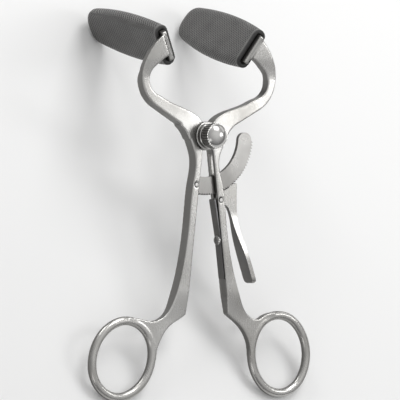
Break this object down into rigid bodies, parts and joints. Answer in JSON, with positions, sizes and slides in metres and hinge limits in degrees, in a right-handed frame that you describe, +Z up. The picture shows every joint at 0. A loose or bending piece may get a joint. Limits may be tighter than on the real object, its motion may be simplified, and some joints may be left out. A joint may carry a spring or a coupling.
{
  "type": "ratchet mouth gag",
  "caption": "Plated steel mouth gag: squeezing the ring handles spreads two rubber-sleeved jaws, and a toothed quadrant with a thumb pawl holds them open.",
  "frame": {"origin": "centre of the bounding box at its base, on the table that the rings and sleeve tips rest on", "axes": "+Y from the finger rings towards the jaws, +Z up from the table with the knob uppermost, +X to the side that carries the ratchet"},
  "size_m": [0.1172, 0.1762, 0.0542],
  "materials": {
    "plated_steel": "nickel plated, polished",
    "plated_fittings": "nickel plated, polished",
    "spring_steel": "fine brushed",
    "sleeve_rubber": "matte, cloth-impressed"
  },
  "bodies": {
    "left_side": {"left_lever": "plated_steel", "left_jaw_sleeve": "sleeve_rubber", "ratchet_quadrant": "plated_steel", "quadrant_rivet": "plated_fittings", "pivot_stud": "plated_fittings", "joint_washer": "plated_fittings"},
    "right_side": {"right_lever": "plated_steel", "right_jaw_sleeve": "sleeve_rubber", "pawl_pin": "plated_fittings", "pawl_spring": "spring_steel", "spring_screw": "plated_fittings"},
    "pawl": {"pawl_lever": "plated_steel"},
    "knob": {"joint_knob": "plated_fittings"}
  },
  "joints": [
    {"name": "jaw_hinge", "type": "hinge", "parent": "left_side", "child": "right_side", "pos_m": [0.00216, 0.02019, 0.03547], "axis": [0, -0.3003, 0.9538], "range_deg": [-12, 42]},
    {"name": "pawl_hinge", "type": "hinge", "parent": "right_side", "child": "pawl", "pos_m": [0.00906, -0.00604, 0.02721], "axis": [0, -0.3003, 0.9538], "range_deg": [-10, 0], "stiffness_Nm_per_rad": 0.6, "springref_deg": 4.58, "deforming": ["pawl_spring"]},
    {"name": "knob_turn", "type": "hinge", "parent": "left_side", "child": "knob", "pos_m": [0.00216, 0.02019, 0.03547], "axis": [0, -0.3003, 0.9538], "continuous": true}
  ]
}
